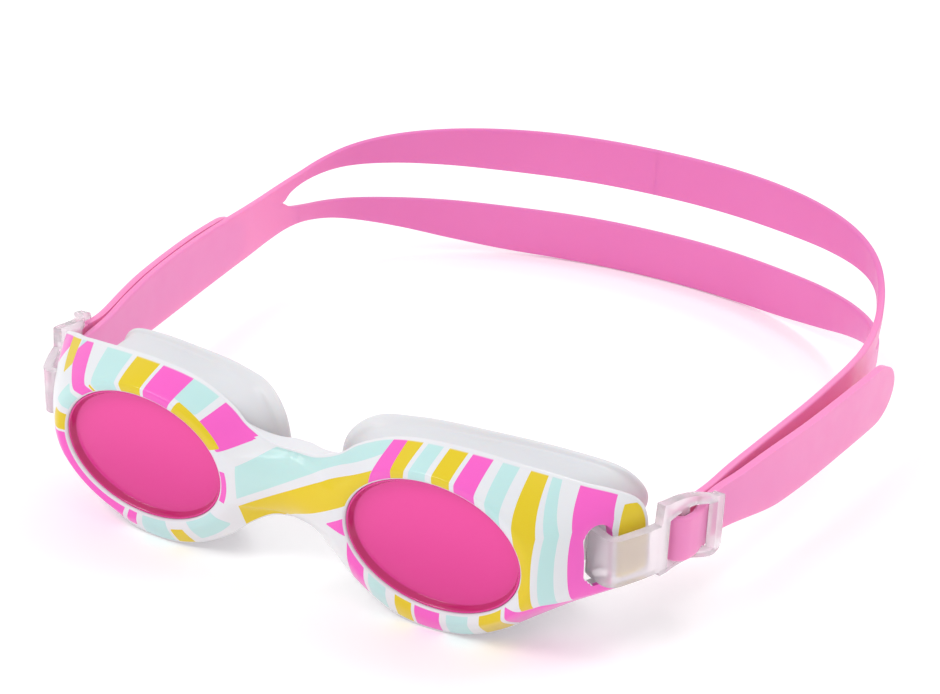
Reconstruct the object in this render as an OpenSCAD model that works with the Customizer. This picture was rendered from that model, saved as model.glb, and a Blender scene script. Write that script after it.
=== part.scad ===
// Swimming goggles: one-piece soft frame with two tinted lenses, two face seals,
// two side clips hooked on the frame's end posts, and one split silicone strap.
// Units are millimetres. The goggles face -Y and stand on Z = 0.

/* [Lenses] */
// Distance between the two lens centres
lens_spacing = 66; // [60:1:72]
// Half width of the visible lens
lens_half_width = 18.7; // [17:0.1:19.5]
// Half height of the visible lens
lens_half_height = 14; // [12.5:0.1:14.5]
// Lens thickness
lens_thickness = 2; // [1.5:0.1:2.4]
// How far each lens's outer end is tilted up, in degrees
lens_roll = 1.8; // [0:0.1:4]

/* [Frame] */
// Lean of the whole front when it stands on a table, in degrees
front_lean = 3.65; // [0:0.05:6]
// Top of the window beside each post, above the lens centres
window_top = 7.9; // [7:0.1:8.4]
// Width of the window, measured along the wing
window_width = 6.4; // [5.4:0.1:6.8]
// Thickness of the bridge over the nose
bridge_thickness = 4; // [3:0.2:5]

/* [Face seals] */
// Wall thickness of the soft seals
seal_wall = 1.6; // [1.2:0.1:2]

/* [Clips] */
// Thickness of the clip plate
clip_thickness = 1.9; // [1.6:0.1:2.1]
// Height of the tall part of the clip plate
clip_height = 15.1; // [14.5:0.1:15.5]
// Height of the strap slots in the clip
slot_height = 10.4; // [10:0.1:10.8]
// Free space between the hook and the post it turns on
hook_clearance = 1.2; // [1:0.05:1.3]

/* [Strap] */
// Thickness of the silicone strap
strap_thickness = 1.6; // [1.2:0.1:1.8]
// Half width of the strap loop
loop_half_width = 79; // [78:0.5:80]
// Depth of the curved back of the loop, behind the arms
loop_depth = 69.5; // [60:0.5:75]
// Roundness of the back of the loop (2 is an ellipse)
loop_squareness = 2.2; // [2:0.1:2.6]
// Gap left at each bending line of the strap
bend_gap = 0.6; // [0.5:0.05:0.8]

/* [Hidden] */

cx = lens_spacing / 2;            // lens centre
stand = 19.75;                    // lens centre above the table
strap_tilt = 0.35;                // the strap runs slightly downhill from the clips, in degrees
mid_y = 87.1;                     // middle of the whole part, from the lens plane
mid_x = 2.15;                     // the free tail on the right reaches further out
arm_end = 106;                    // where the arms bend into the back of the strap
white = [0.90, 0.89, 0.91];
tint = [0.91, 0.31, 0.62, 0.6];
soft = [0.88, 0.88, 0.90];
haze = [0.90, 0.86, 0.89];
pink = [0.94, 0.56, 0.77];

// ---- helpers ----
function at(t, i) = t[((i % len(t)) + len(t)) % len(t)];
function spline(a, b, c, d, u) = 0.5 * (2 * b + (c - a) * u + (2 * a - 5 * b + 4 * c - d) * u * u + (3 * b - a - 3 * c + d) * u * u * u);
function closed_curve(t, n) = [for (i = [0:len(t) - 1], k = [0:n - 1]) spline(at(t, i - 1), t[i], at(t, i + 1), at(t, i + 2), k / n)];
function open_curve(t, n) = let (a = concat([2 * t[0] - t[1]], t, [2 * t[len(t) - 1] - t[len(t) - 2]]))
  concat([for (i = [1:len(t) - 1], k = [0:n - 1]) spline(a[i - 1], a[i], a[i + 1], a[i + 2], k / n)], [t[len(t) - 1]]);
function unit(v) = v / max(norm(v), 1e-9);
function side_of(p, i, d) = let (a = p[max(i - 1, 0)], b = p[min(i + 1, len(p) - 1)], u = unit(b - a)) p[i] + d * [-u[1], u[0]];
function ribbon(p, t) = concat([for (i = [0:len(p) - 1]) side_of(p, i, t / 2)], [for (i = [len(p) - 1:-1:0]) side_of(p, i, -t / 2)]);
function rounded(p, r, n) = concat([p[0]], [for (i = [1:len(p) - 2])
  let (u = unit(p[i - 1] - p[i]), v = unit(p[i + 1] - p[i]), a = p[i] + u * r, b = p[i] + v * r)
  for (k = [0:n]) let (q = k / n) (1 - q) * (1 - q) * a + 2 * q * (1 - q) * p[i] + q * q * b], [p[len(p) - 1]]);
// a closed skin through rings that all have the same number of points, first ring joined to the last
module tube(rings) {
  m = len(rings);
  n = len(rings[0]);
  polyhedron(points = [for (r = rings) each r],
    faces = [for (i = [0:m - 1], k = [0:n - 1]) each
      let (a = i * n + k, b = i * n + (k + 1) % n, c = ((i + 1) % m) * n + (k + 1) % n, d = ((i + 1) % m) * n + k)
      [[a, b, c], [a, c, d]]], convexity = 12);
}
module leaned() { translate([-mid_x, -mid_y, stand]) rotate([front_lean, 0, 0]) children(); }
module level() { translate([-mid_x, -mid_y, stand]) rotate([-strap_tilt, 0, 0]) children(); }
module both(side) { if (side > 0) children(); else mirror([1, 0, 0]) children(); }

// ---- lens and its ring ----
function ring_xz(t, a, b) = let (x = a * cos(t), z = b * sin(t)) [cx + x * cos(lens_roll) - z * sin(lens_roll), x * sin(lens_roll) + z * cos(lens_roll)];
function ring_at(t, grow, y) = let (q = ring_xz(t, lens_half_width + grow, lens_half_height + grow)) [q[0], y, q[1]];
function aim(p) = let (x = p[0] - cx, z = p[2]) atan2((-x * sin(lens_roll) + z * cos(lens_roll)) / lens_half_height, (x * cos(lens_roll) + z * sin(lens_roll)) / lens_half_width);

module lens_body() {
  steps = 96;
  translate([cx, 0.25 + lens_thickness, 0]) rotate([90, 0, 0]) rotate([0, 0, lens_roll])
    linear_extrude(height = lens_thickness) polygon([for (i = [0:steps - 1]) [(lens_half_width + 0.9) * cos(i * 360 / steps), (lens_half_height + 0.9) * sin(i * 360 / steps)]]);
}

// ---- frame ----
// outer edge of one half of the front, from the top of the bridge round the wing to its underside
edge = [[0, 4.5, 8.6], [5, 4.3, 9], [10, 4.8, 11], [14, 5.4, 14], [20, 6, 16.9], [26, 6.5, 18.3], [33, 7, 18.8],
        [40, 7.7, 18.5], [46, 8.8, 17.6], [52, 10.8, 16.1], [58, 13.4, 14.1], [63, 16.4, 12.2], [66.4, 18.9, 9.8],
        [67.8, 19.9, 5.8], [67.9, 20, 0], [67.8, 19.9, -5.2], [66.4, 18.9, -8.4], [63, 16.2, -9.9],
        [58, 12.4, -11.5], [52, 7.8, -14.2], [46, 4, -17.4], [40, 1.5, -19.2], [33, 0.5, -19.8], [26, 0.3, -19.2],
        [20, 0.8, -17.4], [14, 1.4, -14], [9, 2.2, -9.9], [4.5, 3, -7.2], [0, 3.3, -6.4]];
edge_fine = open_curve(edge, 3);
rim_half = concat(edge_fine, [for (i = [1:5]) let (z = -6.4 + i * 15 / 6, u = (z - 1.1) / 7.5) [0, 0.4 + (u < 0 ? 2.9 : 4.1) * u * u, z]]);
function near_nose(p) = min(1, max(0, (p[0] - 2) / 9));
// how the surface falls back from the ring: steepening at the wings, levelling off over the nose
function rise(s, k) = k * pow(s, 1.4) + (1 - k) * s * s * (3 - 2 * s);
function profile(p) =
  let (t = aim(p), k = near_nose(p), crease = ring_at(t, 1.9, -1.1), inner = ring_at(t, 2.3, 2.9),
       r = unit([cx - p[0], 0, -p[2]]),
       out = p[0] < 0.001 ? [-0.05, p[1], p[2]] : p,
       back = [out[0], p[1] + (1 - k) * bridge_thickness + k * 1.1, p[2]] + k * 1.7 * r)
  concat([ring_at(t, 0, 0.2), ring_at(t, 0, -0.5), ring_at(t, 0.55, -0.95), crease],
         [for (s = [0.2, 0.4, 0.6, 0.8, 1]) [crease[0] + (out[0] - crease[0]) * s, -1.1 + (out[1] + 1.1) * rise(s, k), crease[2] + (out[2] - crease[2]) * s]],
         [for (s = [1, 0.66, 0.33, 0]) [inner[0] + (back[0] - inner[0]) * s, 2.9 + (back[1] - 2.9) * rise(s, k), inner[2] + (back[2] - inner[2]) * s]],
         [ring_at(t, 1, 2.9), ring_at(t, 1, 0.2)]);

post = [65.2, 16.6];               // middle of the post, in plan
post_angle = 61.7;                 // direction of the wing at the post, from +X
post_half = 4;                     // half of the post's length
module half_frame() {
  difference() {
    tube([for (p = rim_half) profile(p)]);
    translate([post[0], post[1], 0]) rotate([0, 0, post_angle])
      translate([0, 8, 0]) rotate([90, 0, 0]) linear_extrude(height = 16) window_shape();
  }
}
// arched on top, with its lower inner corner cut off
module window_shape() {
  x0 = -post_half - window_width;
  r = window_width / 2;
  hull() {
    translate([x0 + r, window_top - r]) circle(r = r, $fn = 48);
    for (p = [[x0 + 0.6, -2], [x0 + 2.6, -4.5], [-post_half - 0.6, -4.5]]) translate(p) circle(r = 0.6, $fn = 24);
  }
}
module frame() { color(white) leaned() { half_frame(); mirror([1, 0, 0]) half_frame(); } }
module lens_right() { color(tint) leaned() both(1) lens_body(); }
module lens_left() { color(tint) leaned() both(-1) lens_body(); }

// ---- face seals ----
// where the seal leaves the frame (first) and its rim on the face (second), round the eye
seal_edge = [[[56.4, 12.5, 0], [62.2, 33, 0.5]], [[55.4, 12.4, 6.5], [60.8, 32.4, 4.4]], [[52, 11.8, 11.4], [56.6, 30.6, 7.9]],
             [[46.5, 10.4, 14.4], [48, 27.6, 10.4]], [[40, 9.2, 15.7], [40, 25, 12]], [[33, 8.4, 15.9], [33, 22.6, 13.2]],
             [[26, 7.9, 15.4], [26, 20.2, 14.3]], [[20, 7.4, 14], [20, 18, 14.9]], [[14.8, 7, 11], [12.4, 15.4, 14.5]],
             [[12, 6.8, 6], [7.2, 13.3, 10]], [[11.4, 6.8, 0], [5.8, 12.8, 2]], [[12.4, 6.8, -6], [7.2, 13.4, -5.5]],
             [[15.8, 6.8, -10.6], [12, 15.2, -10.8]], [[20.5, 6.9, -13.6], [18.6, 17.6, -13.4]], [[26.5, 7, -15.3], [26, 20.2, -15.2]],
             [[33, 7.2, -15.9], [33, 22.6, -15.8]], [[40, 8, -15.5], [40.5, 25.2, -15.2]], [[46.5, 9.4, -13.9], [48, 27.8, -13]],
             [[52, 11.2, -10.9], [55.6, 30.4, -9]], [[55.4, 12.3, -6], [60.4, 32.2, -4]]];
seal_neck = closed_curve([for (s = seal_edge) s[0]], 4);
seal_rim = closed_curve([for (s = seal_edge) s[1]], 4);
function toward(p, d) = p + d * unit([cx - p[0], 0, -p[2]]);
function seal_profile(i) =
  let (n = seal_neck[i], r = seal_rim[i], t = aim(n), m = (n + r) / 2 + [0, 0, 0], b = [0, 1, 0])
  [ring_at(t, 1.7, 3.05), n * 0.55 + ring_at(t, 1.7, 3.05) * 0.45, n, toward(m, 0.5), toward(r, 1.1) - 2.2 * b, r - 0.9 * b, r,
   toward(r, 1.2) + 0.35 * b, toward(r, 2.4) - 0.5 * b, toward(m, 0.5 + seal_wall), toward(n, seal_wall + 0.1), ring_at(t, 0.1, 3.05)];
module seal_body() { tube([for (i = [0:len(seal_neck) - 1]) seal_profile(i)]); }
module seal_right() { color(soft) leaned() both(1) seal_body(); }
module seal_left() { color(soft) leaned() both(-1) seal_body(); }

// ---- clips ----
function along_post(u, n) = post + u * [cos(post_angle), sin(post_angle)] + n * [sin(post_angle), -cos(post_angle)];
hook_n = 1.05 + hook_clearance + clip_thickness / 2;
bar = [71.2, 27];                  // middle bar that the strap folds round
bar_angle = 75;                    // its direction, from +X
clip_line = concat(rounded([along_post(1.2, -hook_n - 0.8), along_post(-6.3, -hook_n - 0.8), along_post(-6.3, hook_n), along_post(1, hook_n), [69.9, 19.4]], 2.1, 6),
                   [[70.4, 21.6], [70.7, 24.4], bar, [71.9, 29.4], [72.7, 30.6], [74.3, 32], [75.1, 33.2], [75.2, 34.8], [75.3, 36.4]]);
// outline of the clip seen from the side, as distance behind the lens plane and height
clip_side = concat(
  [[4, -3.6], [17.4, -3.6]],
  [for (k = [1:7]) [17.4 + k * 0.4, -3.6 - (1 - cos(k * 180 / 7)) / 2]],
  [[26, -5], [32, -5.3]],
  [for (k = [0:5]) [34.9 + 1.5 * sin(k * 18), -3.9 - 1.4 * cos(k * 18)]],
  [for (k = [0:5]) [34.9 + 1.5 * cos(k * 18), 5.8 + 1.4 * sin(k * 18)]],
  [[32, 7.9], [26, 9.3]],
  [for (k = [7:-1:1]) [17.4 + k * 0.4, 6.3 + (clip_height - 10.9) * (1 - cos(k * 180 / 7)) / 2]],
  [[17.4, 6.3], [4, 6.3]]);
module from_side(p, x0, x1) { translate([x0, 0, 0]) rotate([90, 0, 90]) linear_extrude(height = x1 - x0) polygon(p); }
module rounded_slot(y0, y1, h, r) {
  translate([50, 0, 1.2]) rotate([90, 0, 90]) linear_extrude(height = 40)
    hull() for (y = [y0 + r, y1 - r], z = [-h / 2 + r, h / 2 - r]) translate([y, z]) circle(r = r, $fn = 24);
}
module clip_body() {
  difference() {
    intersection() {
      translate([0, 0, -12]) linear_extrude(height = 24) polygon(ribbon(clip_line, clip_thickness));
      from_side(clip_side, 45, 90);
    }
    rounded_slot(21.7, 26, slot_height, 0.5);
    rounded_slot(28.4, 33.3, slot_height, 0.5);
  }
}
module clip_right() { color(haze) level() both(1) clip_body(); }
module clip_left() { color(haze) level() both(-1) clip_body(); }

// ---- strap ----
function height_at(t, y) = let (n = len(t) - 1, j = [for (i = [0:n - 1]) if (y >= t[i][0]) i], i = len(j) == 0 ? 0 : j[len(j) - 1],
    u = max(0, min(1, (y - t[i][0]) / (t[i + 1][0] - t[i][0]))),
    m0 = i == 0 ? 0 : (t[i + 1][1] - t[i - 1][1]) / (t[i + 1][0] - t[i - 1][0]),
    m1 = i + 2 > n ? 0 : (t[i + 2][1] - t[i][1]) / (t[i + 2][0] - t[i][0]), h = t[i + 1][0] - t[i][0])
  (2 * u * u * u - 3 * u * u + 1) * t[i][1] + (u * u * u - 2 * u * u + u) * h * m0 + (3 * u * u - 2 * u * u * u) * t[i + 1][1] + (u * u * u - u * u) * h * m1;
// heights of the strap's four edges at distances behind the lens plane
top_edge = [[20, 5.8], [38, 5.6], [48, 6.8], [62, 7.7], [82, 7.9], [104, 7.9], [112, 8.4], [124, 10.4], [132, 12.6], [140, 14.5], [150, 15.8], [162, 16.5], [178, 16.8]];
low_edge = [[20, -3.5], [38, -4], [48, -5.6], [62, -6.4], [82, -6.3], [104, -5.2], [112, -4.2], [120, -3.1], [126, -3], [134, -4.2], [142, -6.6], [152, -10.4], [162, -14.8], [170, -17.7], [178, -18.6]];
split_top = [[118, 4.2], [121, 6.2], [126, 7.9], [133, 9], [140, 9.1], [150, 8.1], [160, 6.6], [170, 5], [178, 4.6]];
split_low = [[118, 4.2], [121, 2.5], [126, 1.5], [133, 0.8], [140, -0.1], [150, -1.8], [160, -3.5], [170, -5.2], [178, -5.6]];

arm_line = open_curve([[79, arm_end - bend_gap / 2], [78.6, 95], [77.7, 82], [76.4, 70], [74.9, 59], [73.2, 49], [71.8, 41], [70.7, 35], [69.8, 30]], 4);
fold_line = [for (a = [bar_angle + 90 : 15 : bar_angle + 270]) bar + [-0.15, -0.4] + (0.95 + 0.25 + strap_thickness / 2) * [cos(a), sin(a)]];
outer_line = [[73.5, 28.4], [73.35, 31], [73.15, 34], [73.1, 38.7]];
side_line = concat(arm_line, fold_line, outer_line);
module edges_between(y0, y1, top, low, n) {
  from_side(concat([for (i = [0:n]) let (y = y0 + (y1 - y0) * i / n) [y, height_at(low, y)]],
                   [for (i = [n:-1:0]) let (y = y0 + (y1 - y0) * i / n) [y, height_at(top, y)]]), -100, 100);
}
module strap_side_body() {
  intersection() {
    translate([0, 0, -20]) linear_extrude(height = 40) polygon(ribbon(side_line, strap_thickness));
    edges_between(20, arm_end, top_edge, low_edge, 36);
  }
}
module strap_side_right() { color(pink) level() both(1) strap_side_body(); }
module strap_side_left() { color(pink) level() both(-1) strap_side_body(); }

// free tails, hinged where they leave the clip
tail_right_line = open_curve([[73.6, 40.4], [75.8, 47], [79.1, 59], [81.4, 70], [83.1, 82], [84.5, 96], [85.3, 110.5]], 5);
tail_left_line = open_curve([[73.7, 40.4], [75.2, 48], [76.8, 58], [78.5, 70], [79.9, 82], [80.7, 94], [81, 103.5]], 5);
function tail_grow(y) = pow(sin(90 * min(1, (y - 39) / 21)), 2);
function tail_half(y, tip) = (4.8 + 1.9 * tail_grow(y)) * (y > tip - 10 ? sqrt(max(0, 1 - pow((y - tip + 10) / 10, 2))) : 1);
function tail_mid(y, rise) = rise * sin(min(180, (y - 39) * 2.2)) + 0.8 - 0.9 * tail_grow(y);
module tail_body(line, tip, rise) {
  n = 44;
  ys = [for (i = [0:n]) let (q = i / n) 39 + (tip - 39) * (1 - pow(1 - q, 1.6))];
  intersection() {
    translate([0, 0, -20]) linear_extrude(height = 40) polygon(ribbon(line, strap_thickness));
    from_side(concat([for (y = ys) [y, tail_mid(y, rise) - tail_half(y, tip)]],
                     [for (i = [n - 1:-1:0]) [ys[i], tail_mid(ys[i], rise) + tail_half(ys[i], tip)]]), 40, 100);
  }
}
module strap_tail_right() { color(pink) level() tail_body(tail_right_line, 110.5, 2.2); }
module strap_tail_left() { color(pink) level() mirror([1, 0, 0]) tail_body(tail_left_line, 103.5, 1); }

// back of the strap: one wall round the head, cut into an upper and a lower band
function back_at(a) = [loop_half_width * (cos(a) >= 0 ? 1 : -1) * pow(abs(cos(a)), 2 / loop_squareness), arm_end + loop_depth * pow(abs(sin(a)), 2 / loop_squareness)];
back_line = concat([[loop_half_width, arm_end + bend_gap / 2]], [for (i = [1:59]) back_at(i * 3)], [[-loop_half_width, arm_end + bend_gap / 2]]);
band_joint = 124;
module back_wall() { translate([0, 0, -30]) linear_extrude(height = 60) polygon(ribbon(back_line, strap_thickness)); }
module strap_upper_band() {
  color(pink) level() intersection() {
    back_wall();
    union() {
      edges_between(arm_end, 118, top_edge, low_edge, 6);
      edges_between(117.9, 178, top_edge, split_top, 40);
      edges_between(117.9, band_joint - bend_gap / 2, split_low, low_edge, 5);
    }
  }
}
module strap_lower_band() {
  color(pink) level() intersection() {
    back_wall();
    edges_between(band_joint + bend_gap / 2, 178, split_low, low_edge, 40);
  }
}

frame();
lens_right();
lens_left();
seal_right();
seal_left();
clip_right();
clip_left();
strap_side_right();
strap_side_left();
strap_tail_right();
strap_tail_left();
strap_upper_band();
strap_lower_band();
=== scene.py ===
import math

import bmesh
import bpy
import numpy as np
from mathutils import Matrix, Vector


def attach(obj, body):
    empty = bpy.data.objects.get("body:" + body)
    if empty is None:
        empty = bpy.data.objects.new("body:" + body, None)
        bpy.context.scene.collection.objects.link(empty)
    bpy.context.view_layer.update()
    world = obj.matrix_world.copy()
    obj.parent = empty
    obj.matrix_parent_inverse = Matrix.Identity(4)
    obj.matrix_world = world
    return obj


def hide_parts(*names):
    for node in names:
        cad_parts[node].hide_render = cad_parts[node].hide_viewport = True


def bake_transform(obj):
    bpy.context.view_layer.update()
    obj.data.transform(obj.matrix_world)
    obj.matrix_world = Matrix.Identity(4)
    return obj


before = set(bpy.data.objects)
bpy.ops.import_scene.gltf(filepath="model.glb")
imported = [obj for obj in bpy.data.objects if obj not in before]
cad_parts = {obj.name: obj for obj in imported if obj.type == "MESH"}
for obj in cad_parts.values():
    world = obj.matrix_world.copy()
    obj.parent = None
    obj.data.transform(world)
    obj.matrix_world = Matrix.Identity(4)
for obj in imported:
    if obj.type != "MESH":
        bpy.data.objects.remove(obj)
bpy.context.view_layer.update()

# Children's swimming goggles. Lengths below are millimetres about the point midway between
# the lens centres; leaned() and level() turn them into metres in the row frame.
LEAN, TILT = math.radians(3.65), math.radians(-0.35)
SHIFT = np.array([-2.15, -87.1, 19.75])
CX, LENS_A, LENS_B, ROLL = 33.0, 18.7, 14.0, math.radians(1.8)
STRAP_T = 1.6


def turned(p, angle):
    p = np.asarray(p, float)
    c, s = math.cos(angle), math.sin(angle)
    return np.stack([p[..., 0], p[..., 1] * c - p[..., 2] * s, p[..., 1] * s + p[..., 2] * c], -1)


def level(p):
    return (turned(p, TILT) + SHIFT) * 0.001


def leaned(p):
    return (turned(p, LEAN) + SHIFT) * 0.001


# ---------------------------------------------------------------- camera
azimuth, elevation = math.radians(28.64), math.radians(29.38)
target, distance = np.array([40.99, 0, 44.54]), 353.5
back = np.array([math.sin(azimuth) * math.cos(elevation), -math.cos(azimuth) * math.cos(elevation),
                 math.sin(elevation)])
right = np.array([math.cos(azimuth), math.sin(azimuth), 0])
up = np.cross(back, right)
cam_data = bpy.data.cameras.new("camera")
cam_data.lens, cam_data.sensor_width, cam_data.clip_start, cam_data.clip_end = 78.06, 36, 0.01, 20
camera = bpy.data.objects.new("camera", cam_data)
bpy.context.scene.collection.objects.link(camera)
matrix = np.eye(4)
matrix[:3, :3] = np.stack([turned(right, LEAN), turned(up, LEAN), turned(back, LEAN)], 1)
matrix[:3, 3] = leaned(target + back * distance)
camera.matrix_world = Matrix(matrix.tolist())
bpy.context.scene.camera = camera


# ---------------------------------------------------------------- helpers
def curve(points, n, closed=False):
    """Catmull-Rom curve through points, n steps between each two."""
    p = np.array(points, float)
    a = np.concatenate([p[-1:], p, p[:2]] if closed else [2 * p[:1] - p[1:2], p, 2 * p[-1:] - p[-2:-1]])
    u = (np.arange(n) / n)[:, None]
    steps = []
    for before, here, after, beyond in zip(a, a[1:], a[2:], a[3:]):
        square = 2 * before - 5 * here + 4 * after - beyond
        cube = 3 * here - before - 3 * after + beyond
        steps.append(0.5 * (2 * here + (after - before) * u + square * u ** 2 + cube * u ** 3))
    out = np.concatenate(steps)
    return out if closed else np.concatenate([out, p[-1:]])


def unit(v):
    return v / np.maximum(np.linalg.norm(v, axis=-1, keepdims=True), 1e-9)


def lengths(p):
    return np.concatenate([[0], np.cumsum(np.linalg.norm(np.diff(p, axis=0), axis=1))])


def resample(p, stations):
    s = lengths(p)
    return np.stack([np.interp(stations, s, p[:, k]) for k in range(p.shape[1])], 1)


def grid_faces(m, n, close_m, close_n):
    i, j = np.meshgrid(np.arange(m if close_m else m - 1), np.arange(n if close_n else n - 1), indexing="ij")
    next_i, next_j = (i + 1) % m, (j + 1) % n
    return np.stack([i * n + j, i * n + next_j, next_i * n + next_j, next_i * n + j], -1).reshape(-1, 4)


def make(name, verts, faces):
    mesh = bpy.data.meshes.new(name)
    mesh.from_pydata(np.asarray(verts, float).tolist(), [], [list(map(int, f)) for f in faces])
    mesh.update()
    obj = bpy.data.objects.new(name, mesh)
    bpy.context.scene.collection.objects.link(obj)
    return obj


def settle(obj, weld=0.0, sharp=40):
    """Applies the modifiers, welds, points the normals outwards and sets which edges stay sharp."""
    mesh = bpy.data.meshes.new_from_object(obj.evaluated_get(bpy.context.evaluated_depsgraph_get()))
    obj.modifiers.clear()
    old, obj.data = obj.data, mesh
    bpy.data.meshes.remove(old)
    mesh.name = obj.name
    bm = bmesh.new()
    bm.from_mesh(mesh)
    if weld:
        bmesh.ops.remove_doubles(bm, verts=bm.verts, dist=weld)
    bmesh.ops.recalc_face_normals(bm, faces=bm.faces)
    bm.to_mesh(mesh)
    bm.free()
    mesh.shade_smooth()
    mesh.set_sharp_from_angle(angle=math.radians(sharp))
    return obj


def thicken(obj, thickness, bevel, segments=3):
    bpy.context.view_layer.update()
    m = obj.modifiers.new("thickness", "SOLIDIFY")
    m.thickness, m.offset, m.use_even_offset = thickness * 0.001, 0, True
    m = obj.modifiers.new("edges", "BEVEL")
    m.width, m.segments, m.limit_method, m.angle_limit = bevel * 0.001, segments, "ANGLE", math.radians(50)
    return settle(obj)


def attribute(obj, name, values):
    obj.data.attributes.new(name, "FLOAT", "POINT").data.foreach_set("value", np.asarray(values, np.float32))


def mirrored(p, side):
    p = np.array(p, float)
    p[..., 0] *= side
    return p


# ---------------------------------------------------------------- materials
PINK, YELLOW = (0.87, 0.10, 0.52), (0.73, 0.53, 0.004)
TEAL, WHITE = (0.48, 0.71, 0.70), (0.74, 0.73, 0.76)


class Material:
    """A Principled material with a few shorthands for its nodes."""

    def __init__(self, name, **sockets):
        self.mat = bpy.data.materials.new(name)
        self.mat.use_nodes = True
        self.nodes, self.links = self.mat.node_tree.nodes, self.mat.node_tree.links
        self.shader = self.nodes["Principled BSDF"]
        for key, value in sockets.items():
            self.shader.inputs[key.replace("_", " ")].default_value = value

    def node(self, kind, inputs=(), **settings):
        n = self.nodes.new(kind)
        for key, value in settings.items():
            setattr(n, key, value)
        for key, value in dict(inputs).items():
            if isinstance(value, bpy.types.NodeSocket):
                self.links.new(value, n.inputs[key])
            else:
                n.inputs[key].default_value = value
        return n

    def value(self, name):
        return self.node("ShaderNodeAttribute", attribute_name=name).outputs["Fac"]

    def math(self, operation, a, b=0.0, c=0.0):
        return self.node("ShaderNodeMath", {0: a, 1: b, 2: c}, operation=operation).outputs[0]

    def smooth(self, value, low, high, to_low=0.0, to_high=1.0):
        ends = {"Value": value, "From Min": low, "From Max": high, "To Min": to_low, "To Max": to_high}
        return self.node("ShaderNodeMapRange", ends, interpolation_type="SMOOTHSTEP").outputs["Result"]

    def mix(self, factor, a, b):
        n = self.node("ShaderNodeMix", data_type="RGBA")
        for socket, value in ((n.inputs[0], factor), (n.inputs[6], a), (n.inputs[7], b)):
            if isinstance(value, bpy.types.NodeSocket):
                self.links.new(value, socket)
            else:
                socket.default_value = (*value, 1) if isinstance(value, tuple) else value
        return n.outputs[2]

    def ramp(self, value, stops):
        n = self.node("ShaderNodeValToRGB", {"Fac": value})
        n.color_ramp.interpolation = "CONSTANT"
        elements = n.color_ramp.elements
        while len(elements) > 1:
            elements.remove(elements[-1])
        elements[0].position, elements[0].color = stops[0][0], (*stops[0][1], 1)
        for position, colour in stops[1:]:
            elements.new(position).color = (*colour, 1)
        return n.outputs["Color"]

    def place(self):
        """The object's own coordinates, in metres."""
        return self.node("ShaderNodeTexCoord").outputs["Object"]

    def along(self, axis):
        return self.node("ShaderNodeSeparateXYZ", {0: self.place()}).outputs[axis]

    def noise(self, scale, detail):
        inputs = {"Vector": self.place(), "Scale": scale, "Detail": detail}
        return self.node("ShaderNodeTexNoise", inputs).outputs["Fac"]

    def bump(self, height, strength, distance):
        n = self.node("ShaderNodeBump", {"Height": height, "Strength": strength, "Distance": distance})
        self.links.new(n.outputs["Normal"], self.shader.inputs["Normal"])

    def set(self, socket, output):
        self.links.new(output, self.shader.inputs[socket])


# ---------------------------------------------------------------- front: shared curves
def ring_at(t, grow, y):
    x, z = (LENS_A + grow) * np.cos(t), (LENS_B + grow) * np.sin(t)
    c, s = math.cos(ROLL), math.sin(ROLL)
    return np.stack([CX + x * c - z * s, np.broadcast_to(y, np.shape(t)).astype(float), x * s + z * c], -1)


def lens_local(p):
    x, z = p[..., 0] - CX, p[..., 2]
    c, s = math.cos(ROLL), math.sin(ROLL)
    return (x * c + z * s) / LENS_A, (-x * s + z * c) / LENS_B


def aim(p):
    x, z = lens_local(p)
    return np.arctan2(z, x)


EDGE = [[0, 4.5, 8.6], [5, 4.3, 9], [10, 4.8, 11], [14, 5.4, 14], [20, 6, 16.9], [26, 6.5, 18.3],
        [33, 7, 18.8], [40, 7.7, 18.5], [46, 8.8, 17.6], [52, 10.8, 16.1], [58, 13.4, 14.1],
        [63, 16.4, 12.2], [66.4, 18.9, 9.8], [67.8, 19.9, 5.8], [67.9, 20, 0], [67.8, 19.9, -5.2],
        [66.4, 18.9, -8.4], [63, 16.2, -9.9], [58, 12.4, -11.5], [52, 7.8, -14.2], [46, 4, -17.4],
        [40, 1.5, -19.2], [33, 0.5, -19.8], [26, 0.3, -19.2], [20, 0.8, -17.4], [14, 1.4, -14],
        [9, 2.2, -9.9], [4.5, 3, -7.2], [0, 3.3, -6.4]]
POST, POST_ANGLE, POST_HALF = np.array([65.2, 16.6]), math.radians(61.7), 4.0
WINDOW_W, WINDOW_TOP = 6.4, 7.9


# ---------------------------------------------------------------- frame
def rise(s, k):
    return k * s ** 1.4 + (1 - k) * s * s * (3 - 2 * s)


def between(a, b, s, ya, yb, k):
    """Points from a to b with their depth following the frame's fall-back curve."""
    p = a + (b - a) * s[..., None]
    p[..., 1] = ya + (yb - ya) * rise(s, k)
    return p


# the lip round a lens, as distance out from the lens and depth
LIP = [(0, 0.2), (0, -0.3), (0.04, -0.55), (0.16, -0.76), (0.36, -0.9), (0.6, -0.98), (1.0, -1.05),
       (1.4, -1.1), (1.75, -1.12), (2.05, -1.08)]
REAR_Y = 2.9


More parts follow.
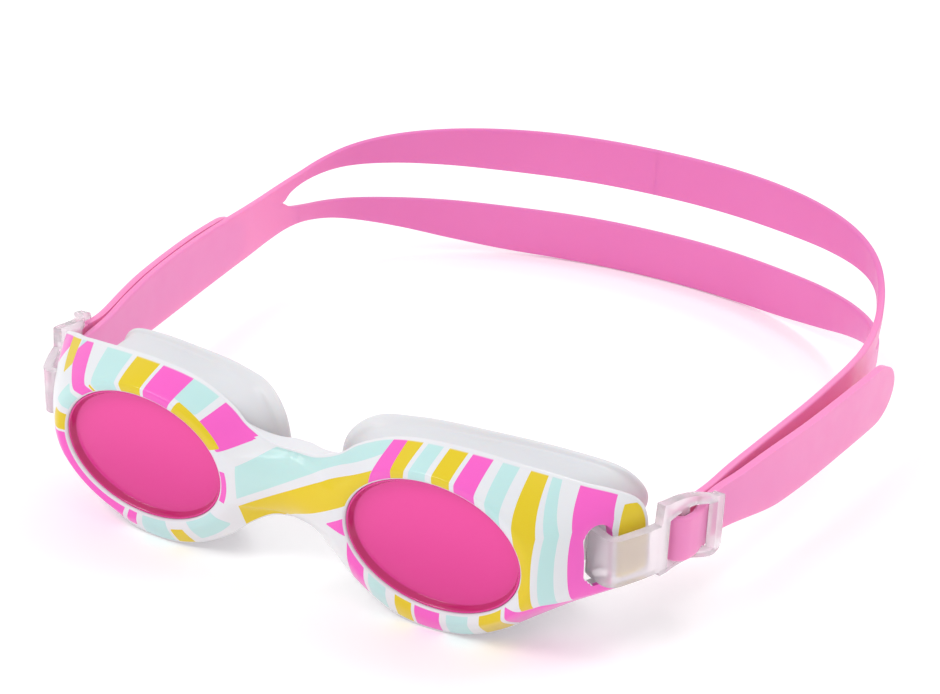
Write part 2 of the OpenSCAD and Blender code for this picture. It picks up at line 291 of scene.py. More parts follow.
def frame_half():
    """Half of the frame's skin, as a row of points round the eye for each step of its section."""
    e = curve(EDGE, 9)
    tangent = unit(np.gradient(e, axis=0) * [1, 0, 1])
    tangent[[0, -1]] = [[1, 0, 0], [-1, 0, 0]]
    inward = np.stack([tangent[:, 2], 0 * tangent[:, 0], -tangent[:, 0]], 1)
    r = 0.5
    reach = np.linalg.norm((e - ring_at(aim(e), 1.9, 0))[:, [0, 2]], axis=1)
    slope = 0.9 * (e[:, 1] + 1.1) / np.maximum(reach, 1)
    near = np.clip((e[:, 0] - 2) / 9, 0, 1)
    a = e + inward * r - np.stack([0 * slope, slope * r * near, 0 * slope], 1)
    # the cut through the middle of the bridge, from its underside up to its top
    z = np.linspace(a[-1, 2], a[0, 2], 34)[1:-1]
    u = (z - 1.1) / 7.5
    seam = np.stack([0 * z, 0.4 + np.where(u < 0, 2.9, 4.1) * u * u, z], 1)
    corner, front = np.concatenate([e, seam]), np.concatenate([a, seam])
    k = np.clip((corner[:, 0] - 2) / 9, 0, 1)
    centre = np.array([CX, 0, 0])
    toward = unit((centre - corner) * [1, 0, 1])
    drop = np.stack([0 * k, (1 - k) * 4 + k * 1.1, 0 * k], 1)
    rear = corner + drop + (k * 1.7)[:, None] * toward
    on_edge = (np.arange(len(corner)) < len(e))[:, None]
    wall = unit(rear - corner)
    b = corner + np.where(on_edge, wall * r, 0)
    c = rear - np.where(on_edge, wall * 0.35, 0)
    inward_all = np.concatenate([inward, np.zeros_like(seam)])
    d = rear + np.where(on_edge, inward_all * 0.35, 0)
    t = aim(corner)
    inner = ring_at(t, 2.3, REAR_Y)
    rows = [ring_at(t, g, y) for g, y in LIP]
    start, y0 = rows[-1], LIP[-1][1]
    rows += [between(start, front, np.full(len(k), s), y0, front[:, 1], k) for s in np.linspace(0, 1, 30)[1:]]
    rows += [(1 - q) ** 2 * front + 2 * q * (1 - q) * corner + q * q * b for q in (0.2, 0.4, 0.6, 0.8, 1.0)]
    rows += [b + (c - b) * q for q in (0.33, 0.67, 1.0)]
    rows += [(1 - q) ** 2 * c + 2 * q * (1 - q) * rear + q * q * d for q in (0.33, 0.67, 1.0)]
    rows += [between(inner, d, np.full(len(k), s), REAR_Y, d[:, 1], k) for s in np.linspace(1, 0, 14)[1:]]
    rows += [ring_at(t, 1, REAR_Y), ring_at(t, 1, 0.2)]
    return np.stack(rows, 1)


def window_cutter(side):
    x0, x1, r, small = -POST_HALF - WINDOW_W, -POST_HALF, WINDOW_W / 2, 0.6
    arcs = [(x0 + r, WINDOW_TOP - r, r, 0, 180), (x0 + small, -2, small, 180, 219),
            (x0 + 2.6, -4.5, small, 219, 270), (x1 - small, -4.5, small, 270, 360)]
    outline = []
    for x, z, radius, start, end in arcs:
        for a in np.radians(np.linspace(start, end, 14)):
            outline.append([x + radius * math.cos(a), z + radius * math.sin(a)])
    along = np.array([math.cos(POST_ANGLE), math.sin(POST_ANGLE)])
    across = np.array([-math.sin(POST_ANGLE), math.cos(POST_ANGLE)])
    verts = []
    for depth in (-8, 8):
        for u, z in outline:
            q = POST + u * along + depth * across
            verts.append([q[0], q[1], z])
    m = len(outline)
    faces = [list(range(m)), list(range(2 * m - 1, m - 1, -1))]
    faces += [[i, i + m, (i + 1) % m + m, (i + 1) % m] for i in range(m)]
    cutter = make("cutter", leaned(mirrored(verts, side)), faces)
    return settle(cutter)


half = frame_half()
n_around, n_profile = half.shape[:2]
cells = grid_faces(n_around, n_profile, True, True)
flat = half.reshape(-1, 3)
cells = cells[~(np.abs(flat[cells][..., 0]) < 1e-6).all(1)]
verts = np.concatenate([flat, mirrored(flat, -1)])
front_obj = make("goggle_frame", leaned(verts), np.concatenate([cells, cells[:, ::-1] + len(flat)]))
settle(front_obj, weld=2e-6)
for side in (1, -1):
    tool = window_cutter(side)
    m = front_obj.modifiers.new("window", "BOOLEAN")
    m.object, m.operation, m.solver = tool, "DIFFERENCE", "EXACT"
    settle(front_obj, sharp=35)
    bpy.data.objects.remove(tool)

# the right eye's stripes: the colour of each, and how far out from the nose it starts (mm)
# at the heights LOW_END, BEND and HIGH_END
LOW_END, BEND, HIGH_END = -10.0, 8.0, 18.0
UPPER_RIGHT = [(WHITE, 8, 8, 8), (PINK, 17.5, 19.2, 22.2), (YELLOW, 25, 24.8, 24.9),
               (WHITE, 26.5, 26.5, 28.2), (TEAL, 27.5, 27.4, 29.2), (WHITE, 31.4, 31.6, 32.4),
               (YELLOW, 33, 33.2, 33.6), (WHITE, 37, 37, 37.3), (PINK, 38, 38, 38.2),
               (WHITE, 42.8, 42.7, 42.1), (TEAL, 46.5, 45.3, 43.8), (WHITE, 49, 47.8, 46.8),
               (YELLOW, 52.2, 50.2, 48.6), (WHITE, 53.8, 54, 51.2), (TEAL, 54.8, 55.2, 51.6),
               (WHITE, 57.2, 57.2, 52.8), (PINK, 59, 58.8, 56), (WHITE, 64, 63.7, 62)]
LOWER_RIGHT = [(hue, line, line, line) for hue, line in (
    (WHITE, 8), (PINK, 14.8), (WHITE, 18.4), (TEAL, 19.4), (WHITE, 23.2), (YELLOW, 25.2), (WHITE, 28.8),
    (PINK, 29.5), (WHITE, 34.9), (TEAL, 36.4), (WHITE, 41), (YELLOW, 43.4), (WHITE, 48), (PINK, 48.8),
    (WHITE, 64))]
# the left eye's print is a fan round the lens: colour, from and to (degrees from the wing's side over
# the top), nearest and furthest distance from the lens (mm), and lean (degrees per mm outwards)
FAN = [("teal", 58, 75, 0, 9, 0), ("teal", 22, 38, 0, 4, 0), ("teal", 38, 46, 6, 12, 0),
       ("teal", 110, 126, 3, 9, 0), ("teal", 255, 272, 0, 9, 0), ("teal", 212, 238, 0, 5, 0),
       ("pink", 44, 55, 0, 9, -1), ("pink", 94, 111, 0, 9, 0), ("pink", 130, 152, 2, 12, 0),
       ("pink", 168, 196, 0.5, 1.8, 0), ("pink", 20, 32, 11, 18, 0), ("pink", 285, 358, 0.5, 9, 0),
       ("pink", 276, 282, 0, 4, 0), ("yellow", 78, 92, 0, 9, 0), ("yellow", 114, 150, 0, 3, 0),
       ("yellow", 30, 37, 7, 13, 0), ("yellow", 55, 57, 0, 2, 0), ("yellow", 0, 16, 0, 3.5, 0),
       ("yellow", 244, 253, 2, 9, 0)]
# patches of the right eye and the bridge, as convex outlines (x, z) in mm
PATCHES = {"pink": [[(10, -2), (15, 1), (16, -1), (14.5, -3.5)], [(50, -6), (55, -7), (59, -5.5), (64, -9),
           (64, -14), (49, -18), (49, -10)]], "yellow": [[(64.5, -5), (67, -5), (67.5, -4), (67.5, 7.5),
           (66, 9.5), (64.5, 10)]]}


OUTSIDE, MM_PER_DEGREE = -5.0, 0.3


def in_fan(x, clock, ring, colour):
    """How far a point of the left eye lies inside one colour's nearest stripe, in mm; below 0 outside."""
    best = np.full(len(x), OUTSIDE)
    for hue, start, end, near, far, skew in FAN:
        if hue == colour:
            middle, half_width = (start + end) / 2, (end - start) / 2
            off = np.abs((clock - skew * ring - middle + 180) % 360 - 180)
            beside = (half_width - off) * MM_PER_DEGREE
            best = np.maximum(best, np.minimum(np.minimum(beside, ring - near), far - ring))
    return np.where(x < -8, best, OUTSIDE)


def inside(x, z, polygons):
    """How far a point lies inside the nearest of some convex outlines, in mm; below 0 outside them all."""
    best = np.full(len(x), OUTSIDE)
    for poly in polygons:
        p = np.array(poly, float)
        area = np.sum(p[:, 0] * np.roll(p[:, 1], -1) - np.roll(p[:, 0], -1) * p[:, 1])
        p = p if area > 0 else p[::-1]
        d = np.full(len(x), 50.0)
        for a, b in zip(p, np.roll(p, -1, axis=0)):
            v = (b - a) / np.linalg.norm(b - a)
            d = np.minimum(d, v[0] * (z - a[1]) - v[1] * (x - a[0]))
        best = np.maximum(best, d)
    return best


def print_attributes(obj):
    n = len(obj.data.vertices)
    co, no = np.zeros(n * 3), np.zeros(n * 3)
    obj.data.vertices.foreach_get("co", co)
    obj.data.vertices.foreach_get("normal", no)
    p, no = co.reshape(-1, 3) / 0.001 - SHIFT, no.reshape(-1, 3)
    c, s = math.cos(LEAN), math.sin(LEAN)
    x, z = p[:, 0], -p[:, 1] * s + p[:, 2] * c
    facing = -(no[:, 1] * c + no[:, 2] * s)
    away = np.abs(x)
    edge = curve(EDGE, 6)[:, [0, 2]]
    rim = np.full(n, 1e9)
    for a, b in zip(edge, edge[1:]):
        step = b - a
        q = np.clip(((away - a[0]) * step[0] + (z - a[1]) * step[1]) / (step @ step), 0, 1)
        rim = np.minimum(rim, (away - a[0] - q * step[0]) ** 2 + (z - a[1] - q * step[1]) ** 2)
    lx, lz = lens_local(np.stack([away, 0 * away, z], 1))
    rho = np.sqrt(lx ** 2 + lz ** 2)
    radius = np.sqrt((lx * LENS_A) ** 2 + (lz * LENS_B) ** 2)
    ring = (rho - 1) * np.where(rho > 0, radius / np.maximum(rho, 1e-6), 1)
    attribute(obj, "across", x)
    attribute(obj, "height", z)
    clock = np.degrees(np.arctan2(lz, lx))
    for name in ("teal", "pink", "yellow"):
        fan, patches = in_fan(x, clock, ring, name), inside(x, z, PATCHES.get(name, []))
        attribute(obj, "patch_" + name, np.maximum(fan, patches))
    attribute(obj, "margin", np.minimum(np.sqrt(rim), 3))
    attribute(obj, "ring", np.clip(ring, -3, 3))
    attribute(obj, "facing", facing)


print_attributes(front_obj)
m = Material("printed_frame", Roughness=0.28, Coat_Weight=0.2, Coat_Roughness=0.08,
             Specular_IOR_Level=0.2, Subsurface_Weight=0.06)
across, height = m.value("across"), m.value("height")
below = m.math("ADD", m.math("MINIMUM", height, BEND), -BEND)
above = m.math("ADD", m.math("MAXIMUM", height, BEND), -BEND)


def bands(table):
    """Colour of the right eye's stripes: each takes over where the point lies further out than its line."""
    shade = table[0][0]
    for hue, low, mid, high in table[1:]:
        line = mid
        if mid != low:
            line = m.math("MULTIPLY_ADD", below, (mid - low) / (BEND - LOW_END), line)
        if high != mid:
            line = m.math("MULTIPLY_ADD", above, (high - mid) / (HIGH_END - BEND), line)
        shade = m.mix(m.math("GREATER_THAN", across, line), shade, hue)
    return shade


above_middle = m.math("GREATER_THAN", m.math("MULTIPLY_ADD", across, 0.16, height), 0.0)
right_eye = m.mix(above_middle, bands(LOWER_RIGHT), bands(UPPER_RIGHT))
eyes = m.mix(m.math("GREATER_THAN", across, 0.0), WHITE, right_eye)
slanted = m.math("MULTIPLY_ADD", across, -0.58, height)
bridge = m.ramp(m.math("MULTIPLY_ADD", slanted, 0.025, 0.5),
                [(0, WHITE), (0.375, YELLOW), (0.53, WHITE), (0.575, TEAL), (0.76, WHITE)])
limit = m.math("MULTIPLY_ADD", height, 0.29, 16.9)
on_bridge = m.math("MULTIPLY", m.math("LESS_THAN", across, limit), m.math("GREATER_THAN", across, -10.4))
on_bridge = m.math("MULTIPLY", on_bridge, m.math("GREATER_THAN", slanted, -5.0))
colour = m.mix(on_bridge, eyes, bridge)
for name, hue in (("teal", TEAL), ("pink", PINK), ("yellow", YELLOW)):
    colour = m.mix(m.math("GREATER_THAN", m.value("patch_" + name), 0.0), colour, hue)
clear = m.math("MULTIPLY", m.smooth(m.value("margin"), 0.4, 0.55), m.smooth(m.value("ring"), 0.3, 0.45))
clear = m.math("MULTIPLY", clear, m.smooth(m.value("facing"), 0.05, 0.2))
cloud = m.noise(60, 3)
bare = m.mix(cloud, (0.70, 0.69, 0.73), (0.78, 0.77, 0.79))
m.set("Base Color", m.mix(clear, bare, m.mix(m.math("MULTIPLY", cloud, 0.03), colour, (0.9, 0.9, 0.9))))
m.bump(m.noise(420, 2), 0.04, 0.0002)
front_obj.data.materials.append(m.mat)
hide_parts("frame")
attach(front_obj, "frame")

# ---------------------------------------------------------------- lenses
lens_mat = Material("tinted_lens", Roughness=0.12, Coat_Weight=0.15, Coat_Roughness=0.1,
                    Transmission_Weight=0.05, IOR=1.4)
# painted shade: the 'depth' weight turns the recessed wall round each lens dark pink, standing in for the
# shade that lies on that wall
depth = lens_mat.value("depth")
sweep = lens_mat.smooth(lens_mat.along("Z"), 0.006, 0.034)
face = lens_mat.mix(sweep, (0.70, 0.035, 0.27), (0.84, 0.055, 0.345))
face = lens_mat.mix(lens_mat.math("MULTIPLY", lens_mat.noise(35, 1), 0.1), face, (0.9, 0.08, 0.42))
lens_mat.set("Base Color", lens_mat.mix(depth, face, (0.52, 0.02, 0.15)))
lens_mat.bump(lens_mat.noise(180, 1), 0.02, 0.0002)
t = np.linspace(0, 2 * math.pi, 193)[:-1]
# each row: distance out from the lens ring, depth, and its weight of painted shade (1 on the recessed wall)
profile = [(-LENS_B * 0.75, 0.82, 0), (-LENS_B * 0.5, 0.86, 0), (-LENS_B * 0.3, 0.9, 0), (-2.2, 0.95, 0),
           (-1.3, 0.97, 0), (-1.12, 0.94, 0.4), (-1.02, 0.8, 1), (-0.8, 0.3, 1), (-0.52, -0.2, 1),
           (-0.42, -0.36, 0.4), (-0.3, -0.42, 0), (-0.16, -0.4, 0), (-0.05, -0.26, 0), (-0.05, 0.22, 0),
           (0.85, 0.3, 0), (0.9, 0.4, 0), (0.9, 2.2, 0), (0.8, 2.25, 0), (-4, 2.25, 0)]
for side, name in ((1, "right"), (-1, "left")):
    rings = np.stack([ring_at(t, g, y) for g, y, _ in profile])
    pts = np.concatenate([rings.reshape(-1, 3), [[CX, 0.8, 0], [CX, 2.25, 0]]])
    faces = [list(f) for f in grid_faces(len(profile), len(t), False, True)]
    a, b, n = (len(profile) - 1) * len(t), len(pts) - 2, len(t)
    faces += [[b, i, (i + 1) % n] for i in range(n)] + [[b + 1, a + (i + 1) % n, a + i] for i in range(n)]
    obj = make("lens_pane_" + name, leaned(mirrored(pts, side)), faces)
    settle(obj, sharp=50)
    attribute(obj, "depth", np.concatenate([np.repeat([d for _, _, d in profile], len(t)), [0, 0]]))
    obj.data.materials.append(lens_mat.mat)
    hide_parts("lens_" + name)
    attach(obj, "frame")

# ---------------------------------------------------------------- face seals
SEAL = [[[56.4, 12.5, 0], [62.2, 33, 0.5]], [[55.4, 12.4, 6.5], [60.8, 32.4, 4.4]], [[52, 11.8, 11.4],
        [56.6, 30.6, 7.9]], [[46.5, 10.4, 14.4], [48, 27.6, 10.4]], [[40, 9.2, 15.7], [40, 25, 12]],
        [[33, 8.4, 15.9], [33, 22.6, 13.2]], [[26, 7.9, 15.4], [26, 20.2, 14.3]], [[20, 7.4, 14],
        [20, 18, 14.9]], [[14.8, 7, 11], [12.4, 15.4, 14.5]], [[12, 6.8, 6], [7.2, 13.3, 10]],
        [[11.4, 6.8, 0], [5.8, 12.8, 2]], [[12.4, 6.8, -6], [7.2, 13.4, -5.5]], [[15.8, 6.8, -10.6],
        [12, 15.2, -10.8]], [[20.5, 6.9, -13.6], [18.6, 17.6, -13.4]], [[26.5, 7, -15.3],
        [26, 20.2, -15.2]], [[33, 7.2, -15.9], [33, 22.6, -15.8]], [[40, 8, -15.5], [40.5, 25.2, -15.2]],
        [[46.5, 9.4, -13.9], [48, 27.8, -13]], [[52, 11.2, -10.9], [55.6, 30.4, -9]], [[55.4, 12.3, -6],
        [60.4, 32.2, -4]]]
neck, rim = (curve([s[i] for s in SEAL], 6, closed=True) for i in (0, 1))


def toward_eye(p, d):
    return p + d * unit((np.array([CX, 0, 0]) - p) * [1, 0, 1])


t = aim(neck)
middle, behind = (neck + rim) / 2, np.array([0, 1, 0])
SEAT_Y = 3.05
low = ring_at(t, 1.7, SEAT_Y)
rings = np.stack([
    low, neck * 0.55 + low * 0.45, neck,
    toward_eye(neck * 0.75 + rim * 0.25, 0.25), toward_eye(middle, 0.5),
    toward_eye(middle * 0.5 + rim * 0.5, 0.8) - 0.6 * behind,
    toward_eye(rim, 1.1) - 2.2 * behind, toward_eye(rim, 0.55) - 1.5 * behind,
    rim - 0.9 * behind, rim - 0.2 * behind, toward_eye(rim, 0.5) + 0.25 * behind,
    toward_eye(rim, 1.2) + 0.35 * behind, toward_eye(rim, 2.4) - 0.5 * behind,
    toward_eye(middle, 2.1), toward_eye(neck, 1.7), ring_at(t, 0.1, SEAT_Y)])
seal_mat = Material("soft_seal", Roughness=0.45, Coat_Weight=0.1, Coat_Roughness=0.25, Subsurface_Weight=0.15)
seal_mat.set("Base Color", seal_mat.mix(seal_mat.noise(45, 3), (0.64, 0.64, 0.665), (0.70, 0.70, 0.725)))
seal_mat.bump(seal_mat.noise(700, 2), 0.05, 0.0002)
for side, name in ((1, "right"), (-1, "left")):
    places = leaned(mirrored(rings.reshape(-1, 3), side))
    obj = make("eye_seal_" + name, places, grid_faces(*rings.shape[:2], True, True))
    m = obj.modifiers.new("smooth", "SUBSURF")
    m.levels = m.render_levels = 2
    settle(obj, sharp=60)
    obj.data.materials.append(seal_mat.mat)
    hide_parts("seal_" + name)
    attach(obj, "frame")


# ---------------------------------------------------------------- clips
def along_post(u, n):
    c, s = math.cos(POST_ANGLE), math.sin(POST_ANGLE)
    return POST + u * np.array([c, s]) + n * np.array([s, -c])


HOOK, CLIP_T = 3.2, 1.9
HOOK_LOW, HOOK_HIGH = -3.6, 6.3
PLATE = [[70.4, 21.6], [70.7, 24.4], [71.2, 27], [71.9, 29.4], [72.7, 30.6], [74.3, 32], [75.1, 33.2],
         [75.2, 34.8], [75.3, 36.4]]
corners = [along_post(1.2, -HOOK - 0.8), along_post(-6.3, -HOOK - 0.8), along_post(-6.3, HOOK),
           along_post(1, HOOK), np.array([69.9, 19.4])]
line = [corners[0]]
for i in (1, 2, 3):
    u, v = unit(corners[i - 1] - corners[i]), unit(corners[i + 1] - corners[i])
    a, b = corners[i] + u * 2.1, corners[i] + v * 2.1
    line += [(1 - q) ** 2 * a + 2 * q * (1 - q) * corners[i] + q * q * b for q in np.linspace(0, 1, 9)]
plate_start = len(line)
line += [corners[4]] + list(curve(PLATE, 4))
line = np.array(line)
SLOTS = ((21.7, 26.0), (28.4, 33.3))
s_all = lengths(line)
s_plate = s_all[plate_start]
marks = [float(np.interp(y, line[plate_start:, 1], s_all[plate_start:])) for slot in SLOTS for y in slot]
stations = [s for s in np.arange(0, s_all[-1], 0.4) if min(abs(s - k) for k in marks) > 0.2]
stations = np.array(sorted(stations + marks + [s_all[-1]]))
path = resample(line, stations)


def clip_range(s, y):
    """The clip's lowest and highest edge at a place along it."""
    if s < s_plate:
        return HOOK_LOW, HOOK_HIGH
    if y < 20.2:
        q = (1 - math.cos(math.pi * min(max((y - 17.3) / 1.5, 0), 1))) / 2
        return HOOK_LOW - q, HOOK_HIGH + 4.2 * q
    where = [20.2, 26, 32, 34.9, 35.5, 36, 36.3, 36.4]
    low = np.interp(y, where, [-4.6, -5, -5.3, -5.3, -5.15, -4.8, -4.3, -3.9])
    high = np.interp(y, where, [10.5, 9.3, 7.9, 7.2, 7.05, 6.7, 6.2, 5.8])
    return float(low), float(high)


share = np.array([0, 0.05, 0.1, 0.15, 0.24, 0.33, 0.42, 0.5, 0.58, 0.67, 0.76, 0.85, 0.9, 0.95, 1])
grid = []
for s, (x, y) in zip(stations, path):
    z0, z1 = clip_range(s, y)
    w = 0 if s < s_plate else float(np.clip((y - 18.5) / 3.2, 0, 1))
    even = z0 + (z1 - z0) * share
    slotted = np.interp(share, [0, 0.15, 0.85, 1], [z0, -4.0, 6.4, z1]) if z1 > 6.5 else even
    grid.append([[x, y, z] for z in even * (1 - w) + slotted * w])
grid = np.array(grid)
keep = []
for f in grid_faces(*grid.shape[:2], False, False):
    i, j = divmod(int(f[0]), len(share))
    mid = (path[i, 1] + path[i + 1, 1]) / 2
    if not (stations[i] >= s_plate and 3 <= j < 11 and any(a < mid < b for a, b in SLOTS)):
        keep.append(f)
clip_mat = Material("clip_plastic", Roughness=0.22, Coat_Weight=0.3, Coat_Roughness=0.08,
                    Transmission_Weight=0.66, IOR=1.25)
clip_mat.set("Base Color", clip_mat.mix(clip_mat.noise(90, 2), (0.94, 0.88, 0.92), (0.98, 0.93, 0.96)))
clip_mat.bump(clip_mat.noise(500, 2), 0.03, 0.0002)
for side, name in ((1, "right"), (-1, "left")):
    obj = make("side_clip_" + name, level(mirrored(grid.reshape(-1, 3), side)), keep)
    thicken(obj, CLIP_T, 0.45, 4)
    obj.data.materials.append(clip_mat.mat)
    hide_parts("clip_" + name)
    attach(obj, "side_" + name)

# ---------------------------------------------------------------- strap
TOP = [[20, 5.8], [38, 5.6], [48, 6.8], [62, 7.7], [82, 7.9], [104, 7.9], [112, 8.4], [124, 10.4],
       [132, 12.6], [140, 14.5], [150, 15.8], [162, 16.5], [178, 16.8]]
LOW = [[20, -3.5], [38, -4], [48, -5.6], [62, -6.4], [82, -6.3], [104, -5.2], [112, -4.2], [120, -3.1],
       [126, -3], [134, -4.2], [142, -6.6], [152, -10.4], [162, -14.8], [170, -17.7], [178, -18.6]]
SPLIT_TOP = [[118, 4.2], [121, 6.2], [126, 7.9], [133, 9], [140, 9.1], [150, 8.1], [160, 6.6], [170, 5],
             [178, 4.6]]
SPLIT_LOW = [[118, 4.2], [121, 2.5], [126, 1.5], [133, 0.8], [140, -0.1], [150, -1.8], [160, -3.5],
             [170, -5.2], [178, -5.6]]
CROTCH, JOINT, SPLIT_Z = 118.0, 124.0, 4.2
ROWS, STRAP_EDGE = 7, 0.42
BAR = np.array([71.2, 27])


def height_at(table, y):
    """Smooth height of one edge of the strap at a distance behind the lenses."""
    p = np.array(table, float)
    x, v = p[:, 0], p[:, 1]
    slope = np.zeros(len(p))
    slope[1:-1] = (v[2:] - v[:-2]) / (x[2:] - x[:-2])
    y = np.clip(y, x[0], x[-1])
    i = np.clip(np.searchsorted(x, y, side="right") - 1, 0, len(p) - 2)
    h = x[i + 1] - x[i]
    u = (y - x[i]) / h
    return ((2 * u ** 3 - 3 * u ** 2 + 1) * v[i] + (u ** 3 - 2 * u ** 2 + u) * h * slope[i]
            + (3 * u ** 2 - 2 * u ** 3) * v[i + 1] + (u ** 3 - u ** 2) * h * slope[i + 1])


def back_at(a):
    """The back of the head loop from above, a superellipse."""
    power = 2 / 2.2
    x = 79 * np.sign(np.cos(a)) * np.abs(np.cos(a)) ** power
    return np.stack([x, 106 + 69.5 * np.abs(np.sin(a)) ** power], -1)


around = back_at(np.radians(np.linspace(94, 0.4, 300)))
arm = curve([[79, 105.7], [78.6, 95], [77.7, 82], [76.4, 70], [74.9, 59], [73.2, 49], [71.8, 41], [70.7, 35],
             [69.8, 30]], 10)
fold = np.array([BAR + [-0.15, -0.4] + 2.0 * np.array([math.cos(a), math.sin(a)])
                 for a in np.radians(np.linspace(165, 345, 19))])
outer = np.array([[73.5, 28.4], [73.35, 31], [73.15, 34.2]])
half_path = np.concatenate([around, arm, fold, outer])
s_all = lengths(half_path)
rearmost = int(np.argmax(around[:, 1]))
half_turn = around[rearmost:]


def distance_at(y):
    """How far along the strap, from its back, the place lies that is y behind the lenses."""
    return float(np.interp(-y, -half_turn[:, 1], s_all[rearmost:len(around)]))


s_crotch = distance_at(CROTCH)
stations = np.concatenate([np.arange(s_crotch, 0, -0.9)[::-1], np.arange(s_crotch + 0.9, s_all[-1], 0.6)])
i_crotch = int(np.argmin(np.abs(stations - s_crotch)))


def band_sheet(path, low, high, rows):
    share = np.linspace(0, 1, rows)
    z = low[:, None] + (high - low)[:, None] * share
    return np.concatenate([np.repeat(path[:, None], rows, 1), z[..., None]], -1)


def cut(obj, point, normal, chosen=lambda v: True):
    """Removes what lies on the side that normal points to, with a clean edge, so that two pieces butt."""
    bm = bmesh.new()
    bm.from_mesh(obj.data)
    faces = [f for f in bm.faces if all(chosen(v.co) for v in f.verts)]
    edges, verts = {e for f in faces for e in f.edges}, {v for f in faces for v in f.verts}
    bmesh.ops.bisect_plane(bm, geom=[*verts, *edges, *faces], plane_co=Vector(point), plane_no=Vector(normal),
                           clear_outer=True)
    holes = [e for e in bm.edges if e.is_boundary]
    bmesh.ops.holes_fill(bm, edges=holes, sides=0)
    bm.to_mesh(obj.data)
    bm.free()
    obj.data.shade_smooth()
    obj.data.set_sharp_from_angle(angle=math.radians(40))


strap_mat = Material("silicone_strap", Roughness=0.42, Coat_Weight=0.1, Coat_Roughness=0.3,
                     Subsurface_Weight=0.1)
cloud = strap_mat.noise(30, 3)
# painted shade: the back of the head loop, seen from inside, is coloured a darker pink than the arms
painted_back_shade = strap_mat.smooth(strap_mat.along("Y"), 0.02, 0.06)
tone = strap_mat.mix(painted_back_shade, strap_mat.mix(cloud, (0.88, 0.22, 0.50), (0.93, 0.255, 0.55)),
                     strap_mat.mix(cloud, (0.72, 0.135, 0.43), (0.77, 0.16, 0.47)))
strap_mat.set("Base Color", tone)
strap_mat.set("Roughness", strap_mat.smooth(strap_mat.noise(200, 2), 0.2, 0.8, 0.36, 0.48))
strap_mat.bump(strap_mat.noise(900, 3), 0.06, 0.0002)


def strap_piece(obj, nodes):
    obj.data.materials.append(strap_mat.mat)
    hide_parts(*nodes)
    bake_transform(obj)


path = resample(half_path, stations)
y = path[:, 1]
in_split = stations <= s_crotch
seam = SPLIT_Z * np.clip((y - 60) / 50, 0, 1)
upper = band_sheet(path, np.where(in_split, height_at(SPLIT_TOP, y), seam), height_at(TOP, y), ROWS)
lower = band_sheet(path, height_at(LOW, y), np.where(in_split, height_at(SPLIT_LOW, y), seam), ROWS)
first_low = int(np.argmax(stations > distance_at(JOINT + 2.5)))
steps = len(stations)
for side, name in ((1, "right"), (-1, "left")):
    verts = np.concatenate([upper.reshape(-1, 3), lower.reshape(-1, 3)])
    index_low = np.arange(steps * ROWS).reshape(steps, ROWS) + steps * ROWS
    index_low[i_crotch:, -1] = np.arange(steps)[i_crotch:] * ROWS
    faces = [list(f) for f in grid_faces(steps, ROWS, False, False)]
    for i in range(first_low, steps - 1):
        for j in range(ROWS - 1):
            faces.append([index_low[i, j], index_low[i, j + 1], index_low[i + 1, j + 1], index_low[i + 1, j]])
    used = sorted({int(v) for f in faces for v in f})
    renumber = {v: i for i, v in enumerate(used)}
    faces = [[renumber[int(v)] for v in f] for f in faces]
    obj = make("strap_" + name, level(mirrored(verts[used], side)), faces)
    thicken(obj, STRAP_T, STRAP_EDGE)
    cut(obj, level([0, 170, 0]), (-side, 0, 0),
        lambda v: abs(v.x - level([0, 0, 0])[0]) < 0.02 and v.y > level([0, 150, 0])[1])
    mid = level([0, JOINT, SPLIT_Z])
    cut(obj, mid, (0, 1, 0),
        lambda v: level([0, 119.5, 0])[1] < v.y < level([0, 140, 0])[1] and v.z < mid[2] + 0.0002)
    strap_piece(obj, ["strap_side_" + name, "strap_upper_band"])

line = np.concatenate([half_turn[::-1], mirrored(half_turn, -1)[1:]])
line = line[line[:, 1] > JOINT - 4]
path = resample(line, np.arange(0, lengths(line)[-1], 0.9))
sheet = band_sheet(path, height_at(LOW, path[:, 1]), height_at(SPLIT_LOW, path[:, 1]), ROWS)
obj = make("strap_lower", level(sheet.reshape(-1, 3)), grid_faces(*sheet.shape[:2], False, False))
thicken(obj, STRAP_T, STRAP_EDGE)
cut(obj, level([0, JOINT, 0]), (0, -1, 0), lambda v: v.y < level([0, 140, 0])[1])
strap_piece(obj, ["strap_lower_band"])

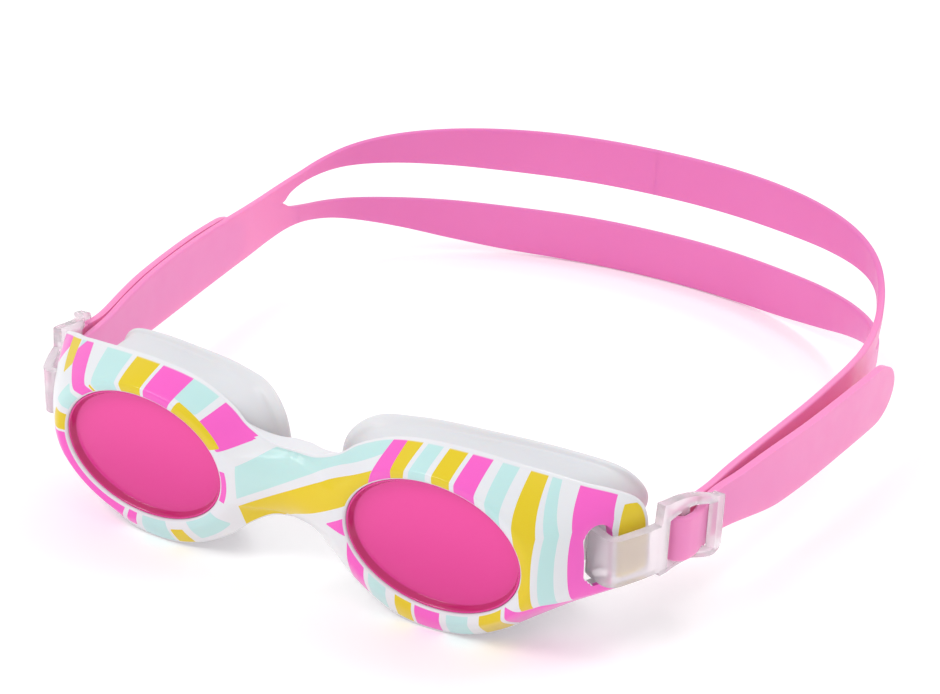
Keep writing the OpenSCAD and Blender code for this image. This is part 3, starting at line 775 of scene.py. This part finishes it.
TAILS = {"right": ([[73.2, 33], [73.15, 36.5], [73.7, 40.4], [75.8, 47], [79.1, 59], [81.4, 70],
         [83.1, 82], [84.5, 96], [85.3, 110.5]], 110.5, 2.2), "left": ([[73.2, 33], [73.15, 36.5],
         [73.7, 40.4], [75.2, 48], [76.8, 58], [78.5, 70], [79.9, 82], [80.7, 94], [81, 103.5]], 103.5,
         1.0)}
for side, name in ((1, "right"), (-1, "left")):
    points, tip, lift = TAILS[name]
    line = curve(points, 12)
    path = resample(line, lengths(line)[-1] * (1 - (1 - np.linspace(0, 1, 120)) ** 1.5))
    y = np.minimum(path[:, 1], tip)
    grow = np.sin(np.radians(90 * np.clip((y - 39) / 21, 0, 1))) ** 2
    h = 4.8 + 1.9 * grow
    h = h * np.sqrt(np.clip(1 - (np.clip(y - tip + 10, 0, 10) / 10) ** 2, 0.0004, 1))
    middle = lift * np.sin(np.radians(np.clip((y - 39) * 2.2, 0, 180))) + 0.8 - 0.9 * grow
    sheet = band_sheet(path, middle - h, middle + h, 11)
    places = level(mirrored(sheet.reshape(-1, 3), side))
    obj = make("strap_end_" + name, places, grid_faces(*sheet.shape[:2], False, False))
    thicken(obj, STRAP_T, STRAP_EDGE)
    strap_piece(obj, ["strap_tail_" + name])

# ---------------------------------------------------------------- floor and light
floor = make("floor", [[-3, -3, 0], [3, -3, 0], [3, 3, 0], [-3, 3, 0]], [[0, 1, 2, 3]])
floor_mat = Material("studio_floor", Roughness=0.9)
floor_mat.set("Base Color", floor_mat.mix(floor_mat.noise(3, 1), (0.95, 0.95, 0.95), (0.96, 0.96, 0.96)))
floor_mat.set("Emission Color", floor_mat.mix(floor_mat.noise(2, 1), (0.97, 1.0, 0.99), (1.0, 1.0, 1.0)))
floor_mat.shader.inputs["Emission Strength"].default_value = 0.12
floor.data.materials.append(floor_mat.mat)
world = bpy.data.worlds.new("world")
bpy.context.scene.world = world
world.use_nodes = True
world.node_tree.nodes["Background"].inputs["Color"].default_value = (1, 1, 1, 1)
world.node_tree.nodes["Background"].inputs["Strength"].default_value = 0.8
bpy.context.scene.view_settings.view_transform = "Standard"


def area(name, place, aim_at, size, energy):
    data = bpy.data.lights.new(name, "AREA")
    data.shape, data.size, data.size_y, data.energy = "RECTANGLE", size[0], size[1], energy
    obj = bpy.data.objects.new(name, data)
    bpy.context.scene.collection.objects.link(obj)
    obj.location = place
    obj.rotation_euler = (Vector(aim_at) - Vector(place)).to_track_quat("-Z", "Y").to_euler()


area("key", (-0.35, -0.55, 0.75), (0, -0.05, 0.02), (0.45, 0.3), 2.6)
area("top", (0.25, 0.35, 0.8), (0, 0, 0.02), (0.5, 0.25), 1.8)
